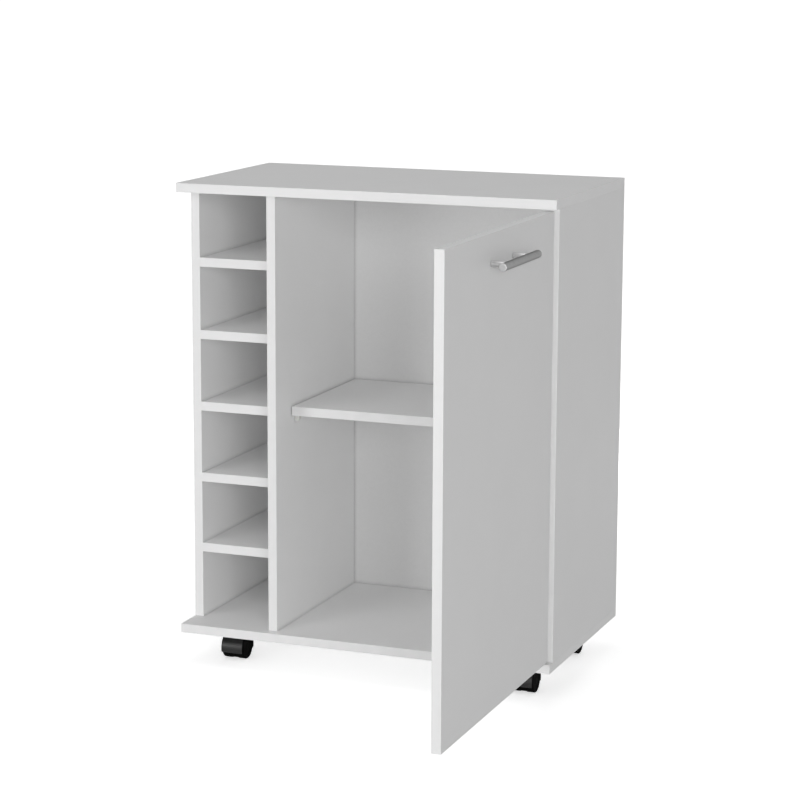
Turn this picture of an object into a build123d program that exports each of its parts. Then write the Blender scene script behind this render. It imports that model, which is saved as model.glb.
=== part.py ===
from build123d import *

import os

# Bar cart on four twin-wheel casters: bottle cubbies on the left, a cupboard with a hinged door on
# the right. Millimetres, +Z up, front towards -Y, floor at z = 0 under the middle of the cabinet.

# Boards and overall size
board = 15.0
cart_width = 640.0
cart_depth = 367.0
body_height = 746.0
caster_height = 56.0

# Bottle cubbies and cupboard
cubby_setback = 55.0
cubby_width = 136.5
cubby_pitch = 119.5
cubby_shelf_count = 5
door_setback = 16.0
cupboard_shelf_setback = 77.0
cupboard_shelf_gap = 1.5
cupboard_shelf_drop = 1.0
back_inset = 15.0
back_thickness = 3.0
groove_depth = 6.0
groove_play = 0.2
rear_seam = 0.5

# Door, shown open by a quarter turn
door_width = 483.5
door_reveal = 3.0
door_gap = 4.0
door_bottom_gap = 1.0
door_top_gap = 3.5
door_open_angle = 90.0

# Bar handle
handle_length = 160.0
handle_spacing = 96.0
handle_bar_radius = 6.0
handle_post_radius = 4.5
handle_projection = 27.5
handle_below_door_top = 43.5

# Concealed hinges
hinge_heights = (119.0, 617.0)
hinge_pin_from_edge = 9.2
hinge_pin_depth = 10.0
hinge_pin_radius = 1.25
hinge_pin_length = 18.6
hinge_running_gap = 0.05
hinge_eye_radius = 2.2
cup_radius = 17.5
cup_depth = 13.0
cup_from_edge = 21.5
cup_wall = 1.0
cup_floor = 0.5
cup_flange = 1.2
cup_flange_radius = 19.5
cup_ear_span = 60.0
cup_ear_width = 12.0
cup_ear_corner = 3.0
cup_ear_offset = 6.0
cup_lug_inner = 6.3
cup_lug_reach = 3.0
arm_sheet = 2.2
arm_neck_width = 11.0
arm_leg_offset = 13.3
arm_leg_rise = 0.7
arm_bend_radius = 2.2
arm_channel_width = 17.0
arm_channel_wall = 1.5
arm_channel_lip = 5.0
arm_channel_front = 16.0
arm_channel_rear = 62.0
plate_wing = 2.0
plate_wing_length = 52.0
plate_wing_width = 15.0
plate_wing_corner = 4.0
plate_wing_line = 37.0
plate_rib_width = 13.2
plate_rib_front = 20.0
plate_rib_rear = 60.0

# Casters, their rounds drawn with flats
caster_flats = 36
caster_from_left = 67.5
caster_from_right = 64.5
caster_from_front = 65.5
caster_trail = 10.0
wheel_radius = 20.0
wheel_inner_face = 5.6
wheel_width = 13.6
hood_outer_radius = 24.0
hood_inner_radius = 21.8
hood_half_width = 19.0
hood_web_half = 5.0
hood_web_rear = 8.0
hood_web_radius = 19.2
hood_front_droop = 17.0
hood_rear_droop = 18.0
swivel_boss_half = 8.0
swivel_play = 0.3
king_pin_radius = 3.0
king_pin_bottom = 30.0
running_gap = 0.06
axle_radius = 2.5
axle_half_length = 16.5
mount_plate = 2.0
mount_plate_size = 42.0
mount_plate_corner = 5.0

# Fasteners and small fittings
peg_flats = 6
small_round_flats = 12
dowel_radius = 4.0
dowel_length = 30.0
dowel_in_divider = 10.0
dowel_play = 0.5
joint_from_front = 40.0
joint_from_rear = 45.0
board_screw_length = 50.0
board_screw_head = 5.0
board_screw_shank = 3.0
board_screw_head_height = 3.0
cam_radius = 7.5
cam_depth = 12.5
cam_from_edge = 34.0
cam_bolt_radius = 3.0
cam_bolt_in_top = 11.0
cam_bolt_in_cam = 3.5
support_peg_radius = 2.5
support_peg_length = 10.0
support_reach = 8.0
support_height = 12.0
support_width = 9.0
support_chamfer = 3.0
support_behind_front = 19.0
bumper_radius = 3.0
bumper_height = 2.4
bumper_inset = 9.8
bumper_from_end = 60.0

# Levels and planes worked out from the sizes above
left_x = -cart_width / 2
right_x = cart_width / 2
front_y = -cart_depth / 2
rear_y = cart_depth / 2
base_z = caster_height
floor_z = base_z + board
ceiling_z = base_z + body_height - board
middle_z = base_z + body_height / 2
left_inner_x = left_x + board
right_inner_x = right_x - board
divider_left_x = left_inner_x + cubby_width
divider_right_x = divider_left_x + board
panel_front_y = front_y + door_setback
cubby_front_y = front_y + cubby_setback
back_front_y = rear_y - back_inset
divider_rear_y = back_front_y - rear_seam
middle_shelf = (cubby_shelf_count - 1) / 2
cubby_shelf_z = [middle_z + cubby_pitch * (middle_shelf - i) for i in range(cubby_shelf_count)]
cupboard_shelf_top = middle_z + board / 2 - cupboard_shelf_drop
cupboard_shelf_under = cupboard_shelf_top - board
cupboard_shelf_front_y = front_y + cupboard_shelf_setback
door_edge_x = right_x - door_reveal
door_free_x = door_edge_x - door_width
door_inner_y = panel_front_y - door_gap
door_outer_y = door_inner_y - board
door_bottom_z = floor_z + door_bottom_gap
door_top_z = ceiling_z - door_top_gap
hinge_x = door_edge_x - hinge_pin_from_edge
hinge_y = door_inner_y - hinge_pin_depth
hinge_z = [base_z + height for height in hinge_heights]
cup_x = door_edge_x - cup_from_edge
handle_x = (door_edge_x + door_free_x) / 2
handle_z = door_top_z - handle_below_door_top
joint_lines = [cubby_front_y + joint_from_front, rear_y - joint_from_rear]
caster_places = {
    "front_left": (left_x + caster_from_left, front_y + caster_from_front),
    "front_right": (right_x - caster_from_right, front_y + caster_from_front),
    "rear_left": (left_x + caster_from_left, rear_y - caster_from_front),
    "rear_right": (right_x - caster_from_right, rear_y - caster_from_front),
}

os.makedirs("parts", exist_ok=True)


def save(node, *solids):
    """Writes one node, which holds one piece or a group of like pieces."""
    shape = solids[0] if len(solids) == 1 else Compound(children=list(solids))
    shape.label = node
    export_step(shape, f"parts/{node}.step")


def slab(x_low, x_high, y_low, y_high, z_low, z_high):
    """A rectangular block between two corners."""
    middle = Pos((x_low + x_high) / 2, (y_low + y_high) / 2, (z_low + z_high) / 2)
    return middle * Box(x_high - x_low, y_high - y_low, z_high - z_low)


def rod(start, direction, radius, length):
    """A round bar or bore from a point along a direction."""
    return Solid.make_cylinder(radius, length, Plane(start, z_dir=direction))


def peg(start, direction, radius, length, flats=peg_flats):
    """A fluted dowel, a screw's shank or the like, drawn with flats in place of a round."""
    return extrude(Plane(start, z_dir=direction) * RegularPolygon(radius, flats), length)


def board_screw(start, direction):
    """A joining screw, from the outer face of its head."""
    head = peg(start, direction, board_screw_head, board_screw_head_height)
    return head + peg(start, direction, board_screw_shank, board_screw_length)


def clipped_plate(length, width, corner):
    """The outline of a sheet metal plate with its corners cut off."""
    return chamfer(Rectangle(length, width).vertices(), corner)


def caster_round(radius, flats=caster_flats):
    """The outline of a wheel or hood, with a flat at the bottom so that wheels touch the floor."""
    return RegularPolygon(radius, flats, major_radius=False, rotation=180 / flats)


def opened(shape):
    """Turns a piece of the closed door about the hinge pins to the open position."""
    return shape.rotate(Axis((hinge_x, hinge_y, 0), (0, 0, 1)), door_open_angle)


# Carcass boards, faced both sides
back_slot = (back_front_y - groove_play, back_front_y + back_thickness + groove_play)
side_groove_x = (left_inner_x - groove_depth, right_inner_x + groove_depth)
top_groove = slab(*side_groove_x, *back_slot, ceiling_z, ceiling_z + groove_depth)
bottom_groove = slab(*side_groove_x, *back_slot, floor_z - groove_depth, floor_z)
left_groove = slab(side_groove_x[0], left_inner_x, *back_slot, floor_z, ceiling_z)
right_groove = slab(right_inner_x, side_groove_x[1], *back_slot, floor_z, ceiling_z)

top_panel = slab(left_x, right_x, front_y, rear_y, ceiling_z, ceiling_z + board) - top_groove
bottom_panel = slab(left_x, right_x, front_y, rear_y, base_z, floor_z) - bottom_groove
left_side_panel = slab(left_x, left_inner_x, cubby_front_y, rear_y, floor_z, ceiling_z) - left_groove
right_side_panel = slab(right_inner_x, right_x, panel_front_y, rear_y, floor_z, ceiling_z) - right_groove
divider_panel = slab(divider_left_x, divider_right_x, panel_front_y, divider_rear_y, floor_z, ceiling_z)
back_play = groove_depth - 2 * groove_play
back_panel = slab(
    left_inner_x - back_play,
    right_inner_x + back_play,
    back_front_y,
    back_front_y + back_thickness,
    floor_z - groove_depth,
    ceiling_z + back_play,
)
cubby_shelves = [
    slab(left_inner_x, divider_left_x, cubby_front_y, divider_rear_y, z - board / 2, z + board / 2)
    for z in cubby_shelf_z
]
cupboard_shelf = slab(
    divider_right_x + cupboard_shelf_gap,
    right_inner_x - cupboard_shelf_gap,
    cupboard_shelf_front_y,
    divider_rear_y - cupboard_shelf_gap,
    cupboard_shelf_under,
    cupboard_shelf_top,
)

# Cubby shelves: screws through the left side, dowels into the divider
shelf_screws = []
shelf_dowels = []
for index, z in enumerate(cubby_shelf_z):
    for y in joint_lines:
        fixing = board_screw((left_x, y, z), (1, 0, 0))
        dowel_end = divider_left_x + dowel_in_divider
        hole_end = dowel_end + dowel_play
        hole_length = dowel_length + 2 * dowel_play
        dowel_hole = peg((hole_end, y, z), (-1, 0, 0), dowel_radius, hole_length)
        left_side_panel -= fixing
        divider_panel -= dowel_hole
        cubby_shelves[index] -= fixing + dowel_hole
        shelf_screws.append(fixing)
        shelf_dowels.append(peg((dowel_end, y, z), (-1, 0, 0), dowel_radius, dowel_length))

# Uprights: screws from below, cam locks and bolts at the top on the faces least seen
base_screws = []
cam_locks = []
cam_bolts = []
cam_z = ceiling_z - cam_from_edge
cam_bolt_z = cam_z + cam_radius - cam_bolt_in_cam
cam_bolt_length = ceiling_z + cam_bolt_in_top - cam_bolt_z
for face_x in (left_x, divider_left_x, right_inner_x):
    middle_x = face_x + board / 2
    for y in joint_lines:
        base_screws.append(board_screw((middle_x, y, base_z), (0, 0, 1)))
        bolt = peg((middle_x, y, cam_bolt_z), (0, 0, 1), cam_bolt_radius, cam_bolt_length)
        cam_locks.append(peg((face_x, y, cam_z), (1, 0, 0), cam_radius, cam_depth, small_round_flats) - bolt)
        cam_bolts.append(bolt)
joints = base_screws + cam_locks + cam_bolts
bottom_panel -= base_screws
top_panel -= cam_bolts
left_side_panel -= joints
divider_panel -= joints
right_side_panel -= joints

# Shelf supports: a peg in the upright with a bracket under the loose shelf
support_profile = make_face(
    Polyline(
        (0, 0, 0),
        (support_reach, 0, 0),
        (support_reach, 0, support_chamfer - support_height),
        (support_reach - support_chamfer, 0, -support_height),
        (0, 0, -support_height),
        close=True,
    )
)
support_y = [
    cupboard_shelf_front_y + support_behind_front,
    divider_rear_y - support_behind_front,
]
shelf_supports = []
for y in support_y:
    for face_x, side in ((divider_right_x, 1), (right_inner_x, -1)):
        bracket = extrude(support_profile, support_width / 2, dir=(0, 1, 0), both=True)
        bracket = bracket if side > 0 else mirror(bracket, Plane.YZ)
        plug_start = (face_x, y, cupboard_shelf_under - support_height / 2)
        plug = peg(plug_start, (-side, 0, 0), support_peg_radius, support_peg_length)
        shelf_supports.append(Pos(face_x, y, cupboard_shelf_under) * bracket + plug)
divider_panel -= shelf_supports
right_side_panel -= shelf_supports

# Concealed hinges: arm and mounting plate on the right side, cup and pin in the door
door_panel = slab(door_free_x, door_edge_x, door_outer_y, door_inner_y, door_bottom_z, door_top_z)
arm_face_x = hinge_x - arm_leg_offset + arm_sheet / 2
channel_y = (panel_front_y + arm_channel_front, panel_front_y + arm_channel_rear)
rib_y = (panel_front_y + plate_rib_front, panel_front_y + plate_rib_rear)
hinge_arms = []
hinge_mounting_plates = []
hinge_cups = []
hinge_pins = []
for z in hinge_z:
    neck_line = FilletPolyline(
        (hinge_x, hinge_y + arm_leg_rise),
        (hinge_x - arm_leg_offset, hinge_y + arm_leg_rise),
        (hinge_x - arm_leg_offset, channel_y[1]),
        radius=arm_bend_radius,
    )
    neck = Pos(0, 0, z) * extrude(trace(neck_line, arm_sheet), arm_neck_width / 2, both=True)
    eye_start = (hinge_x, hinge_y, z - arm_neck_width / 2)
    eye = rod(eye_start, (0, 0, 1), hinge_eye_radius, arm_neck_width)
    eye_hole = rod(eye_start, (0, 0, 1), hinge_pin_radius + hinge_running_gap, arm_neck_width)
    channel_z = (z - arm_channel_width / 2, z + arm_channel_width / 2)
    hollow_z = (channel_z[0] + arm_channel_wall, channel_z[1] - arm_channel_wall)
    channel = slab(arm_face_x - arm_sheet, arm_face_x + arm_channel_lip, *channel_y, *channel_z)
    channel_hollow = slab(arm_face_x, arm_face_x + arm_channel_lip, *channel_y, *hollow_z)
    hinge_arms.append(neck + eye + (channel - channel_hollow) - eye_hole)

    wing_place = (right_inner_x, panel_front_y + plate_wing_line, z)
    wing_face = Plane(wing_place, x_dir=(0, 0, 1), z_dir=(-1, 0, 0))
    wing_outline = clipped_plate(plate_wing_length, plate_wing_width, plate_wing_corner)
    wing = extrude(wing_face * wing_outline, plate_wing)
    rib_z = (z - plate_rib_width / 2, z + plate_rib_width / 2)
    hinge_mounting_plates.append(wing + slab(arm_face_x, right_inner_x, *rib_y, *rib_z))

    mouth = (cup_x, door_inner_y, z)
    bore = rod(mouth, (0, -1, 0), cup_radius, cup_depth)
    hollow = rod(mouth, (0, -1, 0), cup_radius - cup_wall, cup_depth - cup_floor)
    lug_x = (hinge_x - cup_lug_reach, door_edge_x)
    lug_y = (door_inner_y - cup_depth, hinge_y + cup_lug_reach)
    lug_end = hinge_pin_length / 2
    lugs = slab(*lug_x, *lug_y, z - lug_end, z + lug_end) & bore
    lugs -= slab(*lug_x, *lug_y, z - cup_lug_inner, z + cup_lug_inner)
    flange_face = Plane(mouth, x_dir=(1, 0, 0), z_dir=(0, 1, 0))
    ears = Pos(-cup_ear_offset, 0) * clipped_plate(cup_ear_width, cup_ear_span, cup_ear_corner)
    cut_size = 2 * cup_flange_radius
    flange_cut = Pos(cup_radius + cup_flange_radius, 0) * Rectangle(cut_size, cut_size)
    flange_sketch = Circle(cup_flange_radius) + ears - flange_cut - Circle(cup_radius - cup_wall)
    pin_start = (hinge_x, hinge_y, z - lug_end)
    pin = rod(pin_start, (0, 0, 1), hinge_pin_radius, hinge_pin_length)
    cup = (bore - hollow) + lugs + extrude(flange_face * flange_sketch, cup_flange) - pin
    door_panel -= bore
    hinge_cups.append(opened(cup))
    hinge_pins.append(opened(pin))

# Bar handle on the door's outer face
bar_y = door_outer_y - handle_projection
bar = rod((handle_x - handle_length / 2, bar_y, handle_z), (1, 0, 0), handle_bar_radius, handle_length)
handle_posts = []
for x in (handle_x - handle_spacing / 2, handle_x + handle_spacing / 2):
    post = rod((x, door_outer_y, handle_z), (0, -1, 0), handle_post_radius, handle_projection)
    handle_posts.append(opened(post - bar))

# Soft bumpers that meet the divider's front edge
door_bumpers = []
for z in (door_bottom_z + bumper_from_end, door_top_z - bumper_from_end):
    foot = (door_free_x + bumper_inset, door_inner_y, z)
    door_bumpers.append(opened(peg(foot, (0, 1, 0), bumper_radius, bumper_height, small_round_flats)))

# Casters: plate with its king pin under the cart, hood that swivels, two wheels on one axle
plate_under = base_z - mount_plate
boss_top = plate_under - swivel_play
for place, (x, y) in caster_places.items():
    outline = clipped_plate(mount_plate_size, mount_plate_size, mount_plate_corner)
    plate = Pos(x, y, plate_under) * extrude(outline, mount_plate)
    pin_length = base_z - king_pin_bottom
    plate += peg((x, y, king_pin_bottom), (0, 0, 1), king_pin_radius, pin_length, small_round_flats)

    axle_centre = (x, y + caster_trail, wheel_radius)
    across = Plane(axle_centre, x_dir=(0, 1, 0), z_dir=(1, 0, 0))
    far = 2 * hood_outer_radius
    open_below = make_face(
        Polyline(
            (0, 0),
            tuple(Vector(far, 0).rotate(Axis.Z, -hood_rear_droop)),
            (0, -2 * far),
            tuple(Vector(-far, 0).rotate(Axis.Z, hood_front_droop)),
            close=True,
        )
    )
    hood_inside = caster_round(hood_inner_radius)
    fender = caster_round(hood_outer_radius) - hood_inside - open_below
    web_front = -caster_trail - swivel_boss_half
    web_neck = Rectangle(hood_web_rear - web_front, hood_inner_radius, align=Align.MIN)
    web = caster_round(hood_web_radius, small_round_flats) + (hood_inside & Pos(web_front, 0) * web_neck)
    boss_height = boss_top - wheel_radius
    boss = Pos(-caster_trail, boss_height / 2) * Rectangle(2 * swivel_boss_half, boss_height)
    hood = extrude(across * fender, hood_half_width, both=True)
    hood += extrude(across * web, hood_web_half, both=True)
    hood += extrude(across * (boss - hood_inside), swivel_boss_half, both=True)
    socket_depth = boss_top - king_pin_bottom + swivel_play
    hood -= rod((x, y, boss_top), (0, 0, -1), king_pin_radius + running_gap, socket_depth)
    axle_start = (x - axle_half_length, y + caster_trail, wheel_radius)
    axle = rod(axle_start, (1, 0, 0), axle_radius, 2 * axle_half_length)
    wheel = across.offset(wheel_inner_face) * extrude(caster_round(wheel_radius), wheel_width)
    wheel -= rod(axle_centre, (1, 0, 0), axle_radius + running_gap, axle_half_length + swivel_play)
    save(f"{place}_caster_plate", plate)
    save(f"{place}_caster_hood", hood - axle)
    save(f"{place}_caster_axle", axle)
    save(f"{place}_caster_left_wheel", mirror(wheel, Plane(axle_centre, z_dir=(1, 0, 0))))
    save(f"{place}_caster_right_wheel", wheel)

save("top_panel", top_panel)
save("bottom_panel", bottom_panel)
save("left_side_panel", left_side_panel)
save("right_side_panel", right_side_panel)
save("divider_panel", divider_panel)
save("back_panel", back_panel)
for index, shelf in enumerate(cubby_shelves):
    save(f"cubby_shelf_{index + 1}", shelf)
save("cupboard_shelf", cupboard_shelf)
save("shelf_supports", *shelf_supports)
save("shelf_dowels", *shelf_dowels)
save("shelf_screws", *shelf_screws)
save("base_screws", *base_screws)
save("cam_locks", *cam_locks)
save("cam_bolts", *cam_bolts)
save("hinge_arms", *hinge_arms)
save("hinge_mounting_plates", *hinge_mounting_plates)
save("hinge_cups", *hinge_cups)
save("hinge_pins", *hinge_pins)
save("door_panel", opened(door_panel))
save("handle_bar", opened(bar))
save("handle_posts", *handle_posts)
save("door_bumpers", *door_bumpers)
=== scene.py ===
from math import cos, pi, radians, sin

import bmesh
import bpy
from mathutils import Matrix, Vector


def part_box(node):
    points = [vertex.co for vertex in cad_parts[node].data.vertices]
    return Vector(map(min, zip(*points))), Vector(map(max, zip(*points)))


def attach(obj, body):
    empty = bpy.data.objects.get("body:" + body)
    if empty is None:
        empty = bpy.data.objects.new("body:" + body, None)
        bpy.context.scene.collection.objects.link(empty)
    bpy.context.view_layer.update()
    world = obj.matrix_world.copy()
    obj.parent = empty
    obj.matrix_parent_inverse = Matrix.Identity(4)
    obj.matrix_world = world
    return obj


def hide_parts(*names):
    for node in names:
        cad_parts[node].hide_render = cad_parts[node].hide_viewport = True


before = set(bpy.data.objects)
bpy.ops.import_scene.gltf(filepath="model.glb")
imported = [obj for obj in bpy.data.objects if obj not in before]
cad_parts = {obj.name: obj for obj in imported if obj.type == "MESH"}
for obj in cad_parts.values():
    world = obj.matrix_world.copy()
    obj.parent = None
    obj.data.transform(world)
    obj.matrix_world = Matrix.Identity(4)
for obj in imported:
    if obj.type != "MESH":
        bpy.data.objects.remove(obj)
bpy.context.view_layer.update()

# Faced boards. Particle board with a white melamine film pressed on both faces, sawn to size and edged
# with a thin white plastic band. The boards butt together, and dowels, cams and screws hold them.


def linear(colour):
    """An sRGB hex colour as linear light."""
    levels = [int(colour[i:i + 2], 16) / 255 for i in (1, 3, 5)]
    return [v / 12.92 if v <= 0.04045 else ((v + 0.055) / 1.055) ** 2.4 for v in levels] + [1.0]


def add(tree, kind, inputs=None, **settings):
    """Adds a node with its settings, and values or links on its sockets."""
    made = tree.nodes.new(kind)
    for name, value in settings.items():
        setattr(made, name, value)
    for socket, value in (inputs or {}).items():
        if isinstance(value, bpy.types.NodeSocket):
            tree.links.new(value, made.inputs[socket])
        else:
            made.inputs[socket].default_value = value
    return made


def finish(name, **constants):
    """Starts a material: its node tree, its shader with the values that don't vary, and the place."""
    material = bpy.data.materials.new(name)
    material.use_nodes = True
    tree = material.node_tree
    shader = tree.nodes["Principled BSDF"]
    for socket, value in constants.items():
        shader.inputs[socket.replace("_", " ")].default_value = value
    return material, tree, shader, add(tree, "ShaderNodeTexCoord").outputs["Object"]


# Melamine film, pressed against a finely grained plate: a satin white whose grain breaks up the gloss, with
# faint clouds, and painted shade that darkens the colour by up to a third within 6 mm of an inner corner.
# The real grain is about 0.5 mm, and is drawn at 2 mm so that it shows.
film_cloud = 0.12
film_grain = 0.002
film_relief = 0.0001
painted_shade_reach = 0.006
painted_shade_share = 0.34
melamine, tree, shader, where = finish("white_melamine_film", IOR=1.5, Specular_IOR_Level=0.4)
cloud = add(tree, "ShaderNodeTexNoise", {"Vector": where, "Scale": 1 / film_cloud, "Detail": 3.0})
grain = add(tree, "ShaderNodeTexNoise", {"Vector": where, "Scale": 1 / film_grain, "Detail": 2.0})
tone = add(
    tree, "ShaderNodeMix", {0: cloud.outputs["Fac"], 6: linear("#EDEDED"), 7: linear("#F1F1F1")},
    data_type="RGBA",
)
gloss = add(tree, "ShaderNodeMapRange", {"Value": grain.outputs["Fac"], "To Min": 0.46, "To Max": 0.6})
relief = add(
    tree, "ShaderNodeBump", {"Height": grain.outputs["Fac"], "Strength": 0.12, "Distance": film_relief}
)
# Painted shade: occlusion within reach of an inner corner darkens the film's colour.
corner = add(
    tree, "ShaderNodeAmbientOcclusion", {"Color": tone.outputs[2], "Distance": painted_shade_reach}, samples=8
)
shade = add(
    tree, "ShaderNodeMix", {0: painted_shade_share, 6: tone.outputs[2], 7: corner.outputs["Color"]},
    data_type="RGBA",
)
tree.links.new(shade.outputs[2], shader.inputs["Base Color"])
tree.links.new(gloss.outputs["Result"], shader.inputs["Roughness"])
tree.links.new(relief.outputs["Normal"], shader.inputs["Normal"])

# Edge band, extruded white plastic: smoother than the film, with faint drawn waves some 25 mm long.
band_wave = 0.025
edge_band, tree, shader, where = finish("white_plastic_edge_band", IOR=1.53, Specular_IOR_Level=0.4)
wave = add(tree, "ShaderNodeTexNoise", {"Vector": where, "Scale": 1 / band_wave, "Detail": 1.0})
tone = add(
    tree, "ShaderNodeMix", {0: wave.outputs["Fac"], 6: linear("#EDEDED"), 7: linear("#F1F1F1")},
    data_type="RGBA",
)
gloss = add(tree, "ShaderNodeMapRange", {"Value": wave.outputs["Fac"], "To Min": 0.42, "To Max": 0.54})
tree.links.new(tone.outputs[2], shader.inputs["Base Color"])
tree.links.new(gloss.outputs["Result"], shader.inputs["Roughness"])

# Core of the board, pressed wood chips about 4 mm across: a mottled brown, seen only in bores and grooves.
chip_size = 0.004
chip_core, tree, shader, where = finish("particle_board_core", Roughness=0.85)
chips = add(tree, "ShaderNodeTexVoronoi", {"Vector": where, "Scale": 1 / chip_size})
tone = add(
    tree, "ShaderNodeMix", {0: chips.outputs["Distance"], 6: linear("#B99A6E"), 7: linear("#8C6D45")},
    data_type="RGBA",
)
tree.links.new(tone.outputs[2], shader.inputs["Base Color"])

# Glue line between band and film: a hair of grey that comes and goes every 10 mm or so.
glue_smear = 0.01
glue_line, tree, shader, where = finish("glue_line", Roughness=0.6)
smear = add(tree, "ShaderNodeTexNoise", {"Vector": where, "Scale": 1 / glue_smear})
tone = add(
    tree, "ShaderNodeMix", {0: smear.outputs["Fac"], 6: linear("#C9C8C4"), 7: linear("#DDDCD9")},
    data_type="RGBA",
)
tree.links.new(tone.outputs[2], shader.inputs["Base Color"])

board_finish = [melamine, edge_band, chip_core, glue_line]
FILM, BAND, CORE, GLUE = range(4)
X, Y, Z = range(3)
band_thickness = 0.0007
glue_width = 0.00012
edge_radius = 0.0003
sharp_corner = radians(40)


def piece(name, shape, materials, body, slot, *nodes):
    """Makes a finished mesh a piece of the cart, which rides on a body and stands for CAD nodes."""
    mesh = bpy.data.meshes.new(name)
    shape.to_mesh(mesh)
    shape.free()
    for material in materials:
        mesh.materials.append(material)
    made = bpy.data.objects.new(name, mesh)
    bpy.context.collection.objects.link(made)
    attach(made, body)
    if nodes:
        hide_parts(*nodes)
    return made


def block(shape, low, high):
    """Adds a block between two corners."""
    corners = bmesh.ops.create_cube(shape, size=1.0)["verts"]
    bmesh.ops.scale(shape, vec=high - low, verts=corners)
    bmesh.ops.translate(shape, vec=(low + high) / 2, verts=corners)


def soften(shape, width, segments):
    """Rounds the sharp edges and shades the rounding smoothly."""
    edges = [e for e in shape.edges if e.is_manifold and e.calc_face_angle() > sharp_corner]
    rounded = bmesh.ops.bevel(
        shape, geom=edges, offset=width, segments=segments, profile=0.5, affect="EDGES", material=-1,
        clamp_overlap=True,
    )
    for face in rounded["faces"]:
        face.smooth = True


def board(node, thin, body="carcass"):
    """A faced board the size of its node: thin is the axis of its thickness."""
    low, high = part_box(node)
    shape = bmesh.new()
    block(shape, low, high)
    films = [face for face in shape.faces if abs(face.normal[thin]) > 0.5]
    for face in shape.faces:
        face.material_index = FILM if face in films else BAND
    for width, material in ((band_thickness, BAND), (glue_width, GLUE)):
        for face in bmesh.ops.inset_individual(shape, faces=films, thickness=width)["faces"]:
            face.material_index = material
    soften(shape, edge_radius, 3)
    return piece(node, shape, board_finish, body, "white_melamine_board", node)


left_side = board("left_side_panel", X)
divider = board("divider_panel", X)
right_side = board("right_side_panel", X)
top = board("top_panel", Z)
bottom = board("bottom_panel", Z)
board("cupboard_shelf", Z)
cubby_shelves = [f"cubby_shelf_{number}" for number in range(1, 6)]
for shelf in cubby_shelves:
    board(shelf, Z)
door = board("door_panel", X, "door")

# Grooves for the back panel. They are sawn into the top, the bottom and both sides before the boards are
# joined, and leave the panel a little play all round. Their walls show the bare core.


def combine(made, shape, operation):
    """Cuts a shape out of a piece (DIFFERENCE), or joins it on as one skin (UNION)."""
    mesh = bpy.data.meshes.new("tool")
    shape.to_mesh(mesh)
    shape.free()
    tool = bpy.data.objects.new("tool", mesh)
    bpy.context.collection.objects.link(tool)
    change = made.modifiers.new("change", "BOOLEAN")
    change.object = tool
    change.operation = operation
    changed = bpy.data.meshes.new_from_object(made.evaluated_get(bpy.context.evaluated_depsgraph_get()))
    made.modifiers.clear()
    made.data = changed
    bpy.data.objects.remove(tool)


def carve(made, cutter):
    """Cuts a shape out of a board, showing the core."""
    for face in cutter.faces:
        face.material_index = CORE
    combine(made, cutter, "DIFFERENCE")


groove_play = 0.0002
play = Vector([groove_play] * 3)
back_low, back_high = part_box("back_panel")
for made in (left_side, right_side, top, bottom):
    groove = bmesh.new()
    block(groove, back_low - play, back_high + play)
    carve(made, groove)

# Back panel. A sheet of white lacquered hardboard, sawn to size, that slides into the grooves and keeps the
# carcass square.

# Lacquer on hardboard: thinner and duller than the film, with the same painted shade in its corners. The
# felted fibres under it, some 6 mm long, leave it a little uneven.
fibre_length = 0.006
fibre_relief = 0.0002
sheet_edge = 0.0002
lacquer, tree, shader, where = finish("white_lacquered_hardboard", IOR=1.5, Specular_IOR_Level=0.35)
fibres = add(
    tree, "ShaderNodeTexNoise",
    {"Vector": where, "Scale": 1 / fibre_length, "Detail": 4.0, "Distortion": 1.0},
)
tone = add(
    tree, "ShaderNodeMix", {0: fibres.outputs["Fac"], 6: linear("#E6E6E6"), 7: linear("#ECECEC")},
    data_type="RGBA",
)
gloss = add(tree, "ShaderNodeMapRange", {"Value": fibres.outputs["Fac"], "To Min": 0.5, "To Max": 0.62})
relief = add(
    tree, "ShaderNodeBump", {"Height": fibres.outputs["Fac"], "Strength": 0.1, "Distance": fibre_relief}
)
# Painted shade: occlusion near the corners darkens the lacquer's colour, as on the film.
corner = add(
    tree, "ShaderNodeAmbientOcclusion", {"Color": tone.outputs[2], "Distance": painted_shade_reach}, samples=8
)
shade = add(
    tree, "ShaderNodeMix", {0: painted_shade_share, 6: tone.outputs[2], 7: corner.outputs["Color"]},
    data_type="RGBA",
)
tree.links.new(shade.outputs[2], shader.inputs["Base Color"])
tree.links.new(gloss.outputs["Result"], shader.inputs["Roughness"])
tree.links.new(relief.outputs["Normal"], shader.inputs["Normal"])
shape = bmesh.new()
block(shape, back_low, back_high)
soften(shape, sheet_edge, 2)
piece("back_panel", shape, [lacquer], "carcass", "white_hardboard", "back_panel")

# Joining screws, cam locks, bolts and dowels. The screws come from the left and from below, the cams sit in
# the uprights' left faces, all of zinc plated steel with a cross recess in the head. Cam bolts and beech
# dowels are hidden inside the joints.

# Zinc plating: a cool grey with a faint bloom, in patches about 4 mm across that are duller than the rest.
zinc_bloom = 0.004
zinc, tree, shader, where = finish("zinc_plated_steel", Metallic=1.0)
bloom = add(tree, "ShaderNodeTexNoise", {"Vector": where, "Scale": 1 / zinc_bloom, "Detail": 3.0})
tone = add(
    tree, "ShaderNodeMix", {0: bloom.outputs["Fac"], 6: linear("#A9ACAE"), 7: linear("#C6C8C8")},
    data_type="RGBA",
)
gloss = add(tree, "ShaderNodeMapRange", {"Value": bloom.outputs["Fac"], "To Min": 0.28, "To Max": 0.45})
tree.links.new(tone.outputs[2], shader.inputs["Base Color"])
tree.links.new(gloss.outputs["Result"], shader.inputs["Roughness"])

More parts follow.
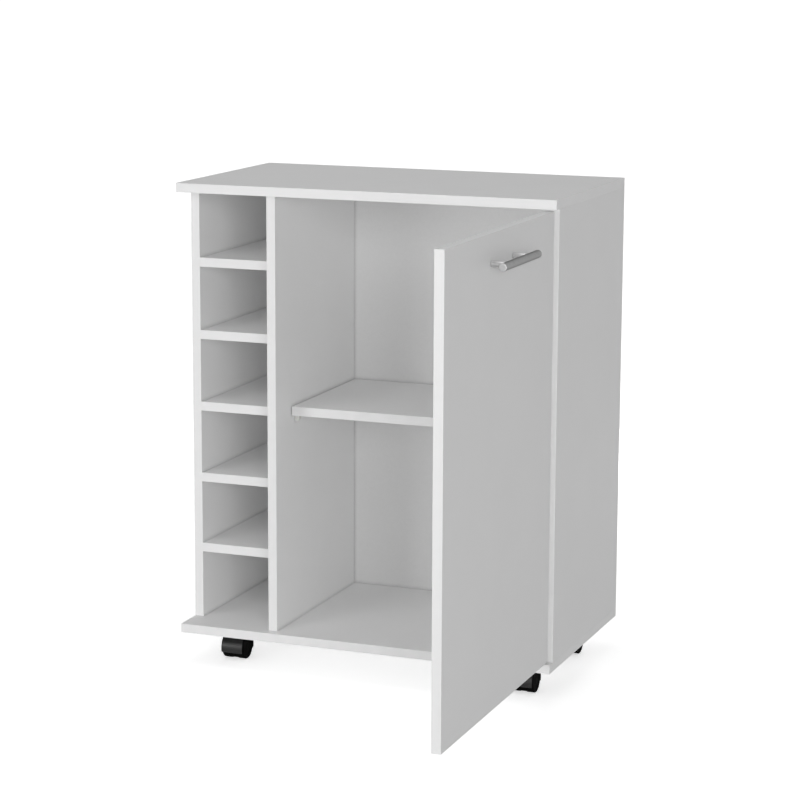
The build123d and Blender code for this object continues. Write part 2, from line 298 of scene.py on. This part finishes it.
# Beech, turned and left bare: pale brown with darker streaks along the grain, 30 mm long and 1 mm wide.
streak_length = 0.03
streak_width = 0.001
beech, tree, shader, where = finish("beech", Roughness=0.7)
along_grain = (1 / streak_length, 1 / streak_width, 1 / streak_width)
along = add(tree, "ShaderNodeMapping", {"Vector": where, "Scale": along_grain})
streaks = add(tree, "ShaderNodeTexNoise", {"Vector": along.outputs["Vector"], "Scale": 1.0, "Detail": 3.0})
tone = add(
    tree, "ShaderNodeMix", {0: streaks.outputs["Fac"], 6: linear("#C79F6E"), 7: linear("#DDBB8C")},
    data_type="RGBA",
)
tree.links.new(tone.outputs[2], shader.inputs["Base Color"])

rightward = (1, 0, 0)
upward = (0, 0, 1)
overcut = 0.001
recess_reach = 0.6
recess_width = 0.22


def drum(shape, start, direction, radius, depth, segments=32, far_radius=None):
    """Adds a closed cylinder, or a cone with another far radius, from a point along a direction."""
    turn = Vector(direction).to_track_quat("Z", "Y").to_matrix().to_4x4()
    middle = Vector(start) + Vector(direction) * depth / 2
    far = radius if far_radius is None else far_radius
    bmesh.ops.create_cone(
        shape, cap_ends=True, segments=segments, radius1=radius, radius2=far, depth=depth,
        matrix=Matrix.Translation(middle) @ turn,
    )


def cross(start, direction, reach, width, depth):
    """A cross-shaped cutter for a driver's recess."""
    shape = bmesh.new()
    block(shape, Vector((-width, -width, -depth)) / 2, Vector((width, width, depth)) / 2)
    sides = [face for face in shape.faces if abs(face.normal.z) < 0.5]
    for arm in bmesh.ops.extrude_discrete_faces(shape, faces=sides)["faces"]:
        bmesh.ops.translate(shape, vec=arm.normal * (reach - width / 2), verts=arm.verts)
    turn = Vector(direction).to_track_quat("Z", "Y").to_matrix().to_4x4()
    bmesh.ops.transform(shape, matrix=Matrix.Translation(Vector(start)) @ turn, verts=shape.verts)
    return shape


def fastener_group(name, places, radius, height, sink, body, slot, *nodes):
    """Round heads with a cross recess, at places given as (outer face, inward direction)."""
    heads = [(Vector(start) + Vector(inward) * sink, inward) for start, inward in places]
    shape = bmesh.new()
    for start, inward in heads:
        drum(shape, start, inward, radius, height)
    soften(shape, height / 5, 2)
    made = piece(name, shape, [zinc], body, slot, *nodes)
    for start, inward in heads:
        recess = cross(start, inward, radius * recess_reach, radius * recess_width, height)
        combine(made, recess, "DIFFERENCE")


def bores(made, places, radius, depth):
    """Round recesses in a board."""
    for start, inward in places:
        cutter = bmesh.new()
        drum(cutter, Vector(start) - Vector(inward) * overcut, inward, radius, depth + overcut)
        carve(made, cutter)


def coat(node, material):
    """Gives a CAD piece that stays as it is a finish."""
    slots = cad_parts[node].data.materials
    slots.clear()
    slots.append(material)


screw_head = 0.0048
head_depth = 0.003
head_sink = 0.0003
screw_low, screw_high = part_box("shelf_screws")
screw_lines = (screw_low.y + screw_head, screw_high.y - screw_head)
upright_boxes = [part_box(node) for node in ("left_side_panel", "divider_panel", "right_side_panel")]
upright_faces = [low.x for low, high in upright_boxes]
shelf_levels = [sum(corner.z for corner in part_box(shelf)) / 2 for shelf in cubby_shelves]
shelf_places = [((upright_faces[0], y, z), rightward) for y in screw_lines for z in shelf_levels]
bores(left_side, shelf_places, screw_head, head_depth)
fastener_group(
    "shelf_screws", shelf_places, screw_head, head_depth, head_sink, "carcass", "zinc_steel", "shelf_screws"
)

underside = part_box("bottom_panel")[0].z
upright_middles = [(low.x + high.x) / 2 for low, high in upright_boxes]
base_places = [((x, y, underside), upward) for y in screw_lines for x in upright_middles]
bores(bottom, base_places, screw_head, head_depth)
fastener_group(
    "base_screws", base_places, screw_head, head_depth, head_sink, "carcass", "zinc_steel", "base_screws"
)

cam_radius = 0.0072
cam_depth = 0.012
cam_sink = 0.0004
cam_low, cam_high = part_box("cam_locks")
cam_level = (cam_low.z + cam_high.z) / 2
cam_places = [((x, y, cam_level), rightward) for x in upright_faces for y in screw_lines]
for upright, face_x in zip((left_side, divider, right_side), upright_faces):
    bores(upright, [place for place in cam_places if place[0][X] == face_x], cam_radius, cam_depth)
fastener_group(
    "cam_locks", cam_places, cam_radius, cam_depth, cam_sink, "carcass", "zinc_steel", "cam_locks"
)
coat("cam_bolts", zinc)
coat("shelf_dowels", beech)

# Shelf supports. Small moulded white brackets with a peg pushed into the upright; the loose shelf lies on
# them with a gap at each side.

# White nylon, moulded: a waxy white, since light goes a little way in, with flow marks some 5 mm long.
nylon_flow = 0.005
moulded_edge = 0.0004
nylon, tree, shader, where = finish("white_nylon", IOR=1.53, Subsurface_Weight=0.1)
flow = add(tree, "ShaderNodeTexNoise", {"Vector": where, "Scale": 1 / nylon_flow})
tone = add(
    tree, "ShaderNodeMix", {0: flow.outputs["Fac"], 6: linear("#DAD9D5"), 7: linear("#E4E3E0")},
    data_type="RGBA",
)
gloss = add(tree, "ShaderNodeMapRange", {"Value": flow.outputs["Fac"], "To Min": 0.35, "To Max": 0.5})
tree.links.new(tone.outputs[2], shader.inputs["Base Color"])
tree.links.new(gloss.outputs["Result"], shader.inputs["Roughness"])

crease = radians(35)
touching = 1e-6


def smooth_below(shape, angle):
    """Smooth shading, broken at edges sharper than an angle."""
    for face in shape.faces:
        face.smooth = True
    for edge in shape.edges:
        edge.smooth = not edge.is_manifold or edge.calc_face_angle() < angle


def dressed(node, material, body, slot, width):
    """A copy of a CAD piece with its sharp edges rounded, as pressed or moulded parts have them."""
    shape = bmesh.new()
    shape.from_mesh(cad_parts[node].data)
    bmesh.ops.remove_doubles(shape, verts=shape.verts, dist=touching)
    bmesh.ops.dissolve_limit(shape, angle_limit=radians(1), verts=shape.verts, edges=shape.edges)
    soften(shape, width, 2)
    smooth_below(shape, crease)
    piece(node, shape, [material], body, slot, node)


dressed("shelf_supports", nylon, "carcass", "white_plastic", moulded_edge)

# Concealed hinges. Pressed nickel plated steel: a cup sunk in the door, an arm that reaches into it and a
# plate with two wings, screwed to the right side. Two screws on the arm set the door straight.

# Nickel plating: a warm bright grey, a little uneven every 3 mm or so where the press stretched the steel.
nickel_mottle = 0.003
nickel, tree, shader, where = finish("nickel_plated_steel", Metallic=1.0)
stamp = add(tree, "ShaderNodeTexNoise", {"Vector": where, "Scale": 1 / nickel_mottle, "Detail": 2.0})
tone = add(
    tree, "ShaderNodeMix", {0: stamp.outputs["Fac"], 6: linear("#B7B3AA"), 7: linear("#CBC8C1")},
    data_type="RGBA",
)
gloss = add(tree, "ShaderNodeMapRange", {"Value": stamp.outputs["Fac"], "To Min": 0.2, "To Max": 0.34})
tree.links.new(tone.outputs[2], shader.inputs["Base Color"])
tree.links.new(gloss.outputs["Result"], shader.inputs["Roughness"])

cup_ear_half = 0.030
cup_from_edge = 0.0215
cup_bore = 0.0175
cup_depth = 0.013
cup_edge = 0.0002
pressed_edge = 0.0003
cup_low, cup_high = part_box("hinge_cups")
door_low, door_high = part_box("door_panel")
hinge_levels = (cup_low.z + cup_ear_half, cup_high.z - cup_ear_half)
cup_y = door_high.y - cup_from_edge
bores(door, [((door_low.x, cup_y, z), rightward) for z in hinge_levels], cup_bore, cup_depth)
dressed("hinge_arms", nickel, "carcass", "nickel_steel", pressed_edge)
dressed("hinge_mounting_plates", nickel, "carcass", "nickel_steel", pressed_edge)
dressed("hinge_cups", nickel, "door", "nickel_steel", cup_edge)
coat("hinge_pins", nickel)

wing_thickness = 0.002
wing_screw_rise = 0.019
wing_screw_offset = 0.003
adjust_setbacks = (0.039, 0.009)
cup_screw_rise = 0.024
cup_screw_offset = 0.006
small_head = 0.0034
small_head_height = 0.0016
plate_low, plate_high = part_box("hinge_mounting_plates")
arm_low, arm_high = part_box("hinge_arms")
wing_x = plate_high.x - wing_thickness
plate_y = (plate_low.y + plate_high.y) / 2 - wing_screw_offset
cup_screw_y = cup_y - cup_screw_offset
plate_places = [
    ((wing_x, plate_y, z + side * wing_screw_rise), rightward)
    for z in hinge_levels for side in (-1, 1)
]
adjust_places = [
    ((arm_low.x, arm_high.y - setback, z), rightward)
    for z in hinge_levels for setback in adjust_setbacks
]
cup_places = [
    ((cup_low.x, cup_screw_y, z + side * cup_screw_rise), rightward)
    for z in hinge_levels for side in (-1, 1)
]
for name, places, body, slot in (
    ("hinge_plate_screws", plate_places, "carcass", "zinc_steel"),
    ("hinge_adjust_screws", adjust_places, "carcass", "nickel_steel"),
    ("hinge_cup_screws", cup_places, "door", "zinc_steel"),
):
    fastener_group(name, places, small_head, small_head_height, -small_head_height, body, slot)

# Bar handle. A round steel bar with turned ends on two round posts, each held by a screw through the door.
# The bar is satin, brushed round its length, and the posts are buffed.

# Satin brushed steel: a soft streak of light between darker sides, and darker still at a glancing angle,
# which is the low tint. The real brushing is finer than 0.1 mm, and is drawn at 0.6 mm so that it shows.
brush_length = 0.02
brush_width = 0.0006
brush_relief = 0.0001
satin, tree, shader, where = finish("satin_brushed_steel", Metallic=1.0, Specular_Tint=linear("#7C7C7C"))
round_bar = (1 / brush_length, 1 / brush_width, 1 / brush_length)
across = add(tree, "ShaderNodeMapping", {"Vector": where, "Scale": round_bar})
brush = add(tree, "ShaderNodeTexNoise", {"Vector": across.outputs["Vector"], "Scale": 1.0, "Detail": 2.0})
tone = add(
    tree, "ShaderNodeMix", {0: brush.outputs["Fac"], 6: linear("#AFAFAF"), 7: linear("#BDBDBD")},
    data_type="RGBA",
)
gloss = add(tree, "ShaderNodeMapRange", {"Value": brush.outputs["Fac"], "To Min": 0.25, "To Max": 0.31})
relief = add(
    tree, "ShaderNodeBump", {"Height": brush.outputs["Fac"], "Strength": 0.02, "Distance": brush_relief}
)
tree.links.new(tone.outputs[2], shader.inputs["Base Color"])
tree.links.new(gloss.outputs["Result"], shader.inputs["Roughness"])
tree.links.new(relief.outputs["Normal"], shader.inputs["Normal"])

# Buffed steel of the posts and of the bar's turned ends: brighter, with a faint haze 2 mm across.
buffed_haze = 0.002
buffed, tree, shader, where = finish("buffed_steel", Metallic=1.0)
haze = add(tree, "ShaderNodeTexNoise", {"Vector": where, "Scale": 1 / buffed_haze, "Detail": 2.0})
tone = add(
    tree, "ShaderNodeMix", {0: haze.outputs["Fac"], 6: linear("#C6C6C6"), 7: linear("#D2D2D2")},
    data_type="RGBA",
)
gloss = add(tree, "ShaderNodeMapRange", {"Value": haze.outputs["Fac"], "To Min": 0.3, "To Max": 0.4})
tree.links.new(tone.outputs[2], shader.inputs["Base Color"])
tree.links.new(gloss.outputs["Result"], shader.inputs["Roughness"])

SATIN, BUFFED = range(2)
rearward = (0, 1, 0)
bar_edge = 0.0008
bar_ring_inset = 0.0015
post_edge = 0.0003
post_ring_inset = 0.0006
post_reach = 0.5
handle_head = 0.004
handle_head_height = 0.0022


def end_rings(shape, axis, low, high, inset):
    """Cuts a ring round a shape near each end, so that its rounded ends don't bend the light along it."""
    normal = Vector([float(axis == i) for i in range(3)])
    for place in (low + inset, high - inset):
        geom = shape.verts[:] + shape.edges[:] + shape.faces[:]
        bmesh.ops.bisect_plane(shape, geom=geom, plane_co=normal * place, plane_no=normal)


bar_low, bar_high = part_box("handle_bar")
bar_radius = (bar_high.z - bar_low.z) / 2
bar_middle = (bar_low + bar_high) / 2
bar_start = (bar_middle.x, bar_low.y, bar_middle.z)
shape = bmesh.new()
drum(shape, bar_start, rearward, bar_radius, bar_high.y - bar_low.y, segments=64)
end_rings(shape, Y, bar_low.y, bar_high.y, bar_ring_inset)
for face in shape.faces:
    face.smooth = len(face.verts) == 4
    face.material_index = SATIN if face.smooth else BUFFED
soften(shape, bar_edge, 3)
piece("handle_bar", shape, [satin, buffed], "door", "satin_metal", "handle_bar")

post_low, post_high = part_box("handle_posts")
post_radius = (post_high.z - post_low.z) / 2
post_end = bar_middle.x - bar_radius * post_reach
post_lines = (post_low.y + post_radius, post_high.y - post_radius)
shape = bmesh.new()
for y in post_lines:
    drum(shape, (post_low.x, y, bar_middle.z), rightward, post_radius, post_end - post_low.x, segments=48)
end_rings(shape, X, post_low.x, post_end, post_ring_inset)
for face in shape.faces:
    face.smooth = len(face.verts) == 4
soften(shape, post_edge, 2)
piece("handle_posts", shape, [buffed], "door", "satin_metal", "handle_posts")
handle_places = [((door_low.x, y, bar_middle.z), rightward) for y in post_lines]
fastener_group(
    "handle_screws", handle_places, handle_head, handle_head_height, -handle_head_height,
    "door", "zinc_steel",
)

# Door bumpers. Two soft clear domes with a sticky back, pressed on inside the door's free edge, so that the
# door lands quietly on the divider.

# Clear soft urethane, cast in drops: milky, letting some light through, with a haze 3 mm across.
urethane_haze = 0.003
bumper_taper = 0.75
leftward = (-1, 0, 0)
urethane, tree, shader, where = finish("clear_soft_urethane", IOR=1.5, Transmission_Weight=0.6)
haze = add(tree, "ShaderNodeTexNoise", {"Vector": where, "Scale": 1 / urethane_haze})
tone = add(
    tree, "ShaderNodeMix", {0: haze.outputs["Fac"], 6: linear("#DADAD6"), 7: linear("#E8E8E5")},
    data_type="RGBA",
)
gloss = add(tree, "ShaderNodeMapRange", {"Value": haze.outputs["Fac"], "To Min": 0.2, "To Max": 0.4})
tree.links.new(tone.outputs[2], shader.inputs["Base Color"])
tree.links.new(gloss.outputs["Result"], shader.inputs["Roughness"])
bumper_low, bumper_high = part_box("door_bumpers")
bumper_radius = (bumper_high.y - bumper_low.y) / 2
bumper_height = bumper_high.x - bumper_low.x
shape = bmesh.new()
for z in (bumper_low.z + bumper_radius, bumper_high.z - bumper_radius):
    drum(
        shape, (bumper_high.x, bumper_low.y + bumper_radius, z), leftward, bumper_radius, bumper_height,
        segments=40, far_radius=bumper_radius * bumper_taper,
    )
soften(shape, bumper_height / 3, 4)
for face in shape.faces:
    face.smooth = True
piece("door_bumpers", shape, [urethane], "door", "soft_bumper", "door_bumpers")

# Casters. A zinc plated plate under each corner, four screws, and a riveted pin on which a black plastic
# hood turns. Two black plastic wheels run on a steel axle through the hood's web.

# Black polypropylene, moulded in a leather grained tool: a soft highlight along the hood's crown, broken up
# by the grain of about 1.2 mm.
hood_grain = 0.0012
hood_relief = 0.0001
hood_plastic, tree, shader, where = finish("black_polypropylene_hood", IOR=1.49, Specular_IOR_Level=0.36)
leather = add(tree, "ShaderNodeTexNoise", {"Vector": where, "Scale": 1 / hood_grain, "Detail": 2.0})
tone = add(
    tree, "ShaderNodeMix", {0: leather.outputs["Fac"], 6: linear("#101010"), 7: linear("#181818")},
    data_type="RGBA",
)
gloss = add(tree, "ShaderNodeMapRange", {"Value": leather.outputs["Fac"], "To Min": 0.32, "To Max": 0.4})
relief = add(
    tree, "ShaderNodeBump", {"Height": leather.outputs["Fac"], "Strength": 0.15, "Distance": hood_relief}
)
tree.links.new(tone.outputs[2], shader.inputs["Base Color"])
tree.links.new(gloss.outputs["Result"], shader.inputs["Roughness"])
tree.links.new(relief.outputs["Normal"], shader.inputs["Normal"])

# Black nylon of the wheels, scuffed by rolling: nearly black. Its sheen is taken almost away, because it
# would mirror the white surroundings and turn the wheels grey. On the hood's sides and under its front lip
# it is painted shade.
tread_scuff = 0.002
tread_and_painted_shade, tree, shader, where = finish("black_nylon_tread_and_painted_shade", IOR=1.53, Specular_IOR_Level=0.002)
scuff = add(tree, "ShaderNodeTexNoise", {"Vector": where, "Scale": 1 / tread_scuff, "Detail": 3.0})
tone = add(
    tree, "ShaderNodeMix", {0: scuff.outputs["Fac"], 6: linear("#0C0C0C"), 7: linear("#141414")},
    data_type="RGBA",
)
gloss = add(tree, "ShaderNodeMapRange", {"Value": scuff.outputs["Fac"], "To Min": 0.34, "To Max": 0.55})
tree.links.new(tone.outputs[2], shader.inputs["Base Color"])
tree.links.new(gloss.outputs["Result"], shader.inputs["Roughness"])


def turned(profile, centre, steps):
    """A closed body of revolution about X: profile holds (distance along X, radius) from pole to pole."""
    shape = bmesh.new()
    line = [shape.verts.new((centre.x + along, centre.y, centre.z + radius)) for along, radius in profile]
    edges = [shape.edges.new(pair) for pair in zip(line, line[1:])]
    bmesh.ops.spin(
        shape, geom=line + edges, cent=centre, axis=rightward, angle=2 * pi, steps=steps, use_merge=True
    )
    bmesh.ops.remove_doubles(shape, verts=shape.verts, dist=touching)
    bmesh.ops.recalc_face_normals(shape, faces=shape.faces)
    return shape


plate_thickness = 0.002
plate_corner = 0.005
plate_edge = 0.0003
pin_radius = 0.003
pin_stop = 0.001
caster_screw_spread = 0.0155
caster_head = 0.0036
caster_head_height = 0.0018

CROWN, PAINTED_SHADE = range(2)
hood_wall = 0.0022
hood_edge = 0.0006
hood_ring_inset = 0.0012
front_droop = radians(17)
rear_droop = radians(18)
boss_radius = 0.0078
boss_foot_share = 0.7
web_half = 0.005
web_rear = 0.008
web_top_share = 0.8
web_edge = 0.0015
web_radius = 0.0192
sideways = 0.3

axle_radius = 0.0025
axle_edge = 0.0003
axle_gap = 0.0003
bore_radius = 0.00256
wheel_radius = 0.020
wheel_round = 0.0012
wheel_chamfer = 0.0006
wheel_crease = radians(30)
dish_radius = 0.015
dish_depth = 0.0008
hub_radius = 0.0062
hub_chamfer = 0.0006
hub_depth = 0.0004

for place in ("front_left", "front_right", "rear_left", "rear_right"):
    plate_low, plate_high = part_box(f"{place}_caster_plate")
    hood_low, hood_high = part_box(f"{place}_caster_hood")
    axle_low, axle_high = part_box(f"{place}_caster_axle")
    axle = (axle_low + axle_high) / 2
    swivel = (plate_low + plate_high) / 2

    plate_under = plate_high.z - plate_thickness
    shape = bmesh.new()
    block(shape, Vector((plate_low.x, plate_low.y, plate_under)), plate_high)
    corners = [e for e in shape.edges if abs((e.verts[0].co - e.verts[1].co).normalized().z) > 0.9]
    bmesh.ops.bevel(
        shape, geom=corners, offset=plate_corner, segments=6, profile=0.5, affect="EDGES", material=-1
    )
    soften(shape, plate_edge, 2)
    plate = piece(f"{place}_caster_plate", shape, [zinc], "carcass", "zinc_steel", f"{place}_caster_plate")
    pin_length = plate_high.z - plate_low.z - pin_stop
    shape = bmesh.new()
    drum(shape, (swivel.x, swivel.y, plate_low.z), upward, pin_radius, pin_length, segments=24)
    combine(plate, shape, "UNION")
    screw_places = [
        ((swivel.x + side * caster_screw_spread, swivel.y + end * caster_screw_spread, plate_under), upward)
        for side in (-1, 1) for end in (-1, 1)
    ]
    fastener_group(
        f"{place}_caster_screws", screw_places, caster_head, caster_head_height, -caster_head_height,
        "carcass", "zinc_steel",
    )

    outer = (hood_high.y - hood_low.y) / 2
    half_width = (hood_high.x - hood_low.x) / 2
    start = axle + Vector((0, cos(rear_droop), -sin(rear_droop))) * outer
    inward = Vector((0, -cos(rear_droop), sin(rear_droop))) * hood_wall
    side = Vector((half_width, 0, 0))
    shape = bmesh.new()
    rim_points = (start - side, start + side, start + side + inward, start - side + inward)
    rim = [shape.verts.new(point) for point in rim_points]
    loop = [shape.edges.new(pair) for pair in zip(rim, rim[1:] + rim[:1])]
    bmesh.ops.spin(
        shape, geom=rim + loop, cent=axle, axis=rightward, angle=pi + rear_droop + front_droop, steps=56
    )
    bmesh.ops.holes_fill(shape, edges=shape.edges)
    bmesh.ops.recalc_face_normals(shape, faces=shape.faces)
    end_rings(shape, X, axle.x - half_width, axle.x + half_width, hood_ring_inset)
    soften(shape, hood_edge, 3)
    smooth_below(shape, crease)
    hood = piece(
        f"{place}_caster_hood", shape, [hood_plastic, tread_and_painted_shade], f"{place}_swivel", "black_plastic",
        f"{place}_caster_hood",
    )

    boss_foot = axle.z + outer * boss_foot_share
    shape = bmesh.new()
    drum(shape, (swivel.x, swivel.y, boss_foot), upward, boss_radius, hood_high.z - boss_foot, segments=48)
    soften(shape, hood_edge, 2)
    smooth_below(shape, crease)
    combine(hood, shape, "UNION")
    web_low = Vector((axle.x - web_half, swivel.y - boss_radius, axle.z))
    web_high = Vector((axle.x + web_half, axle.y + web_rear, axle.z + outer * web_top_share))
    shape = bmesh.new()
    block(shape, web_low, web_high)
    soften(shape, web_edge, 3)
    combine(hood, shape, "UNION")
    shape = bmesh.new()
    drum(shape, (axle.x - web_half, axle.y, axle.z), rightward, web_radius, 2 * web_half, segments=64)
    soften(shape, hood_edge, 2)
    smooth_below(shape, crease)
    combine(hood, shape, "UNION")
    lip_level = axle.z - outer * sin(front_droop)
    # Painted shade: the hood's faces that turn sideways or lie below the front lip take the black nylon,
    # duller and darker than the crown.
    for face in hood.data.polygons:
        in_painted_shade = abs(face.normal.x) > sideways or face.center.z < lip_level
        face.material_index = PAINTED_SHADE if in_painted_shade else CROWN

    shape = bmesh.new()
    drum(shape, (axle_low.x, axle.y, axle.z), rightward, axle_radius, axle_high.x - axle_low.x)
    soften(shape, axle_edge, 2)
    piece(f"{place}_caster_axle", shape, [zinc], f"{place}_swivel", "zinc_steel", f"{place}_caster_axle")

    bore_end = axle_high.x - axle.x + axle_gap
    for hand, way in (("left", -1), ("right", 1)):
        node = f"{place}_caster_{hand}_wheel"
        inside, outside = sorted(abs(corner.x - axle.x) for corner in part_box(node))
        profile = [
            (bore_end, 0.0),
            (bore_end, bore_radius),
            (inside, bore_radius),
            (inside, wheel_radius - wheel_chamfer),
            (inside + wheel_chamfer, wheel_radius),
            (outside - wheel_round, wheel_radius),
            (outside - wheel_round / 2, wheel_radius - wheel_round / 6),
            (outside - wheel_round / 6, wheel_radius - wheel_round / 2),
            (outside, wheel_radius - wheel_round),
            (outside, dish_radius + dish_depth),
            (outside - dish_depth, dish_radius),
            (outside - dish_depth, hub_radius),
            (outside - hub_depth, hub_radius - hub_chamfer),
            (outside - hub_depth, 0.0),
        ]
        shape = turned([(way * along, radius) for along, radius in profile], axle, 72)
        smooth_below(shape, wheel_crease)
        piece(node, shape, [tread_and_painted_shade], f"{place}_{hand}_wheel", "black_plastic_tread", node)

# Floor and light. A plain white floor that runs to the horizon and keeps a faint shadow under the cart, an
# even pale sky, and soft lamps: one high and one low at the left, two at the right, one overhead and a low
# one behind. White boards pass light on many times, so more bounces are followed than usual.


def seen_directly(tree):
    """One where a surface is looked at, mirrored or seen through another, nil where it only gives light."""
    path = add(tree, "ShaderNodeLightPath")
    seen = path.outputs["Is Camera Ray"]
    for ray in ("Is Glossy Ray", "Is Transmission Ray"):
        either = add(tree, "ShaderNodeMath", {0: seen, 1: path.outputs[ray]}, operation="MAXIMUM")
        seen = either.outputs[0]
    return seen


# Matt white floor. Where it is seen it glows up to plain white, and less so near the cart, where the glow
# would drown the shadow.
floor_half = 60.0
shadow_reach = 0.6
plain_reach = 2.5
shadow_glow = 0.55
plain_glow = 0.87
floor_material, tree, shader, where = finish("white_floor", Base_Color=linear("#E6E6E6"), Roughness=0.9)
reach = add(tree, "ShaderNodeVectorMath", {0: where}, operation="LENGTH")
level = add(
    tree, "ShaderNodeMapRange",
    {
        "Value": reach.outputs["Value"], "From Min": shadow_reach, "From Max": plain_reach,
        "To Min": shadow_glow, "To Max": plain_glow,
    },
)
glow = add(tree, "ShaderNodeEmission", {"Color": linear("#FFFFFF"), "Strength": level.outputs["Result"]})
lit = add(tree, "ShaderNodeBsdfDiffuse", {"Color": linear("#FFFFFF")})
backdrop = add(tree, "ShaderNodeAddShader", {0: glow.outputs[0], 1: lit.outputs[0]})
shown = add(
    tree, "ShaderNodeMixShader", {0: seen_directly(tree), 1: shader.outputs[0], 2: backdrop.outputs[0]}
)
tree.links.new(shown.outputs[0], tree.nodes["Material Output"].inputs["Surface"])
shape = bmesh.new()
bmesh.ops.create_grid(shape, x_segments=1, y_segments=1, size=floor_half)
mesh = bpy.data.meshes.new("floor")
shape.to_mesh(mesh)
shape.free()
mesh.materials.append(floor_material)
floor = bpy.data.objects.new("floor", mesh)
bpy.context.collection.objects.link(floor)

sky_level = 0.2145
world = bpy.data.worlds.new("pale_sky")
world.use_nodes = True
bpy.context.scene.world = world
tree = world.node_tree
sky = tree.nodes["Background"]
sky.inputs["Color"].default_value = linear("#FFFFFF")
sky.inputs["Strength"].default_value = sky_level
white = add(tree, "ShaderNodeBackground", {"Color": linear("#FFFFFF"), "Strength": 1.0})
shown = add(tree, "ShaderNodeMixShader", {0: seen_directly(tree), 1: sky.outputs[0], 2: white.outputs[0]})
tree.links.new(shown.outputs[0], tree.nodes["World Output"].inputs["Surface"])

aim = Vector((0.0, 0.0, 0.4))
for name, place, width, height, energy in (
    ("left_softbox", Vector((-3.6, -7.1, 4.4)), 3.0, 5.0, 85.4),
    ("low_left_softbox", Vector((-3.6, -7.1, 1.0)), 3.0, 1.4, 88.1),
    ("right_softbox", Vector((2.47, -7.6, 1.8)), 2.8, 2.8, 86.2),
    ("far_right_softbox", Vector((4.6, -6.55, 1.8)), 2.8, 2.8, 131.6),
    ("top_softbox", Vector((0.0, -1.5, 7.0)), 4.0, 4.0, 56.6),
    ("rear_softbox", Vector((-0.2, 2.0, 0.45)), 1.2, 0.5, 15.3),
):
    lamp = bpy.data.lights.new(name, "AREA")
    lamp.shape = "RECTANGLE"
    lamp.size = width
    lamp.size_y = height
    lamp.energy = energy
    softbox = bpy.data.objects.new(name, lamp)
    bpy.context.collection.objects.link(softbox)
    softbox.location = place
    softbox.rotation_euler = (aim - place).to_track_quat("-Z", "Y").to_euler()
bpy.context.scene.cycles.diffuse_bounces = 12

# Camera. It stands to the right of the cart's front, a little above the top, and looks slightly down. Its
# place, turn, tilt and roll are those at which the cabinet's corners fall where the photograph has them.
camera_place = Vector((1.4851, -3.8558, 1.2294))
camera_turn = radians(21.115)
camera_tilt = radians(-10.835)
camera_roll = radians(0.24)
focal_pixels = 2549.0
image_width = 800
camera = bpy.data.objects.new("camera", bpy.data.cameras.new("camera"))
bpy.context.collection.objects.link(camera)
camera.data.sensor_width = 36.0
camera.data.lens = focal_pixels / image_width * camera.data.sensor_width
camera.matrix_world = (
    Matrix.Translation(camera_place) @ Matrix.Rotation(camera_turn, 4, "Z")
    @ Matrix.Rotation(pi / 2 + camera_tilt, 4, "X") @ Matrix.Rotation(camera_roll, 4, "Z")
)
bpy.context.scene.camera = camera
bpy.context.scene.view_settings.view_transform = "Standard"
